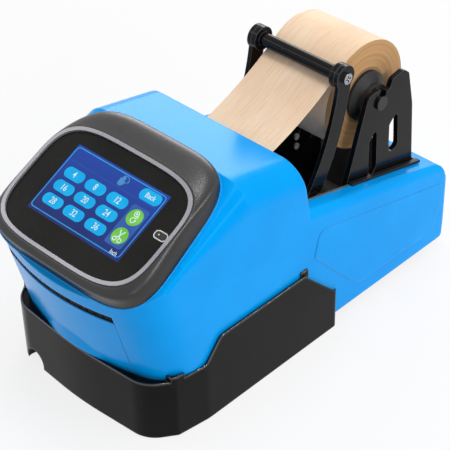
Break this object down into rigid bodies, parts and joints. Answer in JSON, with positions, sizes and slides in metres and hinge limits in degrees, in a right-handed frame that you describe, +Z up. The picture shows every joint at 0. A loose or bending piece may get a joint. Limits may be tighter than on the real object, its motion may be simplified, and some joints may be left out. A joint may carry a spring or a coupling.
{
  "type": "gummed tape dispenser",
  "caption": "Electric counter-top dispenser that feeds, cuts and wets gummed paper tape, with a tilted touch screen, a guide arm over the roll and a hinged front door.",
  "frame": {"origin": "on the bench, under the middle of the machine", "axes": "+X to the right of somebody facing the screen, +Y from the front to the back, +Z up"},
  "size_m": [0.197, 0.3992, 0.2433],
  "materials": {
    "blue_shell": "satin-gloss moulded",
    "black_tray": "polished moulded",
    "bezel_grey": "fine grain",
    "trim_silver": "satin",
    "front_glass": "gloss, black printed behind",
    "display": "lit screen",
    "lamp_lens": "gloss with a pale outline",
    "black_metal": "semi-gloss black coat",
    "black_plastic": "matt",
    "steel": "machined",
    "chrome_steel": "bright plated",
    "sheet_metal": "zinc plated sheet",
    "rubber_black": "matt",
    "roller_rubber": "ground",
    "kraft_paper": "plain kraft, gummed inside",
    "core_board": "spiral wound board",
    "tank_white": "moulded",
    "brush_fibre": "packed fibre",
    "heater_alloy": "plain",
    "motor_grey": "satin",
    "board_green": "solder mask",
    "supply_case": "plain"
  },
  "bodies": {
    "machine": {"arm_pivot_pins": "black_metal", "base_tray": "black_tray", "basket_liner": "black_plastic", "blade_guides": "black_plastic", "brush_carrier": "black_plastic", "chassis_plate": "sheet_metal", "control_board": "board_green", "cutter_solenoid": "motor_grey", "display_module": "display", "door_brackets": "sheet_metal", "door_hinge_rod": "steel", "drive_belt": "rubber_black", "exit_bristles": "black_plastic", "feed_bearings": "steel", "feed_motor": "motor_grey", "fixed_blade": "steel", "left_cheek": "sheet_metal", "left_side_plate": "black_metal", "main_cover": "blue_shell", "pinch_pivot_rod": "steel", "pinch_springs": "steel", "plate_heater": "heater_alloy", "plate_screws": "chrome_steel", "power_inlet": "black_plastic", "power_supply": "supply_case", "pressure_plate": "sheet_metal", "right_cheek": "sheet_metal", "right_side_plate": "black_metal", "rim_strips": "black_plastic", "rubber_feet": "rubber_black", "screen_bezel": "bezel_grey", "status_lamp": "lamp_lens", "switch_frame": "black_plastic", "tape_guides": "sheet_metal", "tape_web": "kraft_paper", "tie_rods": "steel", "touch_glass": "front_glass", "trim_ring": "trim_silver", "water_tank": "tank_white", "wetting_brushes": "brush_fibre"},
    "door": {"front_door": "blue_shell"},
    "roll": {"tape_roll": "kraft_paper", "tape_core": "core_board", "left_hub": "black_plastic", "right_hub": "black_plastic", "roll_spindle": "steel"},
    "arms": {"left_arm": "black_metal", "right_arm": "black_metal", "bar_shaft": "steel", "bar_screws": "chrome_steel"},
    "bar": {"guide_bar": "black_metal"},
    "feed": {"feed_shaft": "steel", "feed_roller": "roller_rubber", "feed_pulley": "black_plastic"},
    "motor_drive": {"motor_pulley": "black_plastic"},
    "pinch_arm": {"pinch_lever": "sheet_metal"},
    "pinch": {"pinch_roller": "roller_rubber"},
    "blade": {"moving_blade": "steel", "blade_carrier": "sheet_metal"},
    "rocker": {"power_rocker": "black_plastic"}
  },
  "joints": [
    {"name": "door_hinge", "type": "hinge", "parent": "machine", "child": "door", "pos_m": [0, -0.16453, 0.085], "axis": [1, 0, 0], "range_deg": [0, 45]},
    {"name": "roll_spin", "type": "hinge", "parent": "machine", "child": "roll", "pos_m": [0.019, 0.11617, 0.1905], "axis": [1, 0, 0], "continuous": true},
    {"name": "arm_swing", "type": "hinge", "parent": "machine", "child": "arms", "pos_m": [0.019, 0.03397, 0.127], "axis": [1, 0, 0], "range_deg": [0, 40]},
    {"name": "bar_spin", "type": "hinge", "parent": "arms", "child": "bar", "pos_m": [0.019, 0.07524, 0.2323], "axis": [1, 0, 0], "continuous": true},
    {"name": "feed_spin", "type": "hinge", "parent": "machine", "child": "feed", "pos_m": [0.019, -0.04567, 0.1613], "axis": [1, 0, 0], "continuous": true},
    {"name": "motor_spin", "type": "hinge", "parent": "machine", "child": "motor_drive", "pos_m": [-0.038, -0.03403, 0.095], "axis": [1, 0, 0], "continuous": true},
    {"name": "pinch_swing", "type": "hinge", "parent": "machine", "child": "pinch_arm", "pos_m": [0.019, -0.02743, 0.18931], "axis": [-1, 0, 0], "range_deg": [0, 8], "stiffness_Nm_per_rad": 0.5, "springref_deg": -11.46},
    {"name": "pinch_spin", "type": "hinge", "parent": "pinch_arm", "child": "pinch", "pos_m": [0.019, -0.0528, 0.18327], "axis": [1, 0, 0], "continuous": true},
    {"name": "blade_slide", "type": "slide", "parent": "machine", "child": "blade", "axis": [0, -0.309, 0.9511], "range_m": [0, 0.008], "stiffness_N_per_m": 200, "springref_m": -0.01},
    {"name": "rocker_tilt", "type": "hinge", "parent": "machine", "child": "rocker", "pos_m": [-0.016, 0.19152, 0.044], "axis": [1, 0, 0], "range_deg": [0, 12]}
  ],
  "couplings": [
    {"joint": "motor_spin", "follows": "feed_spin", "ratio": 1.7778},
    {"joint": "pinch_spin", "follows": "feed_spin", "ratio": -1.4444}
  ]
}
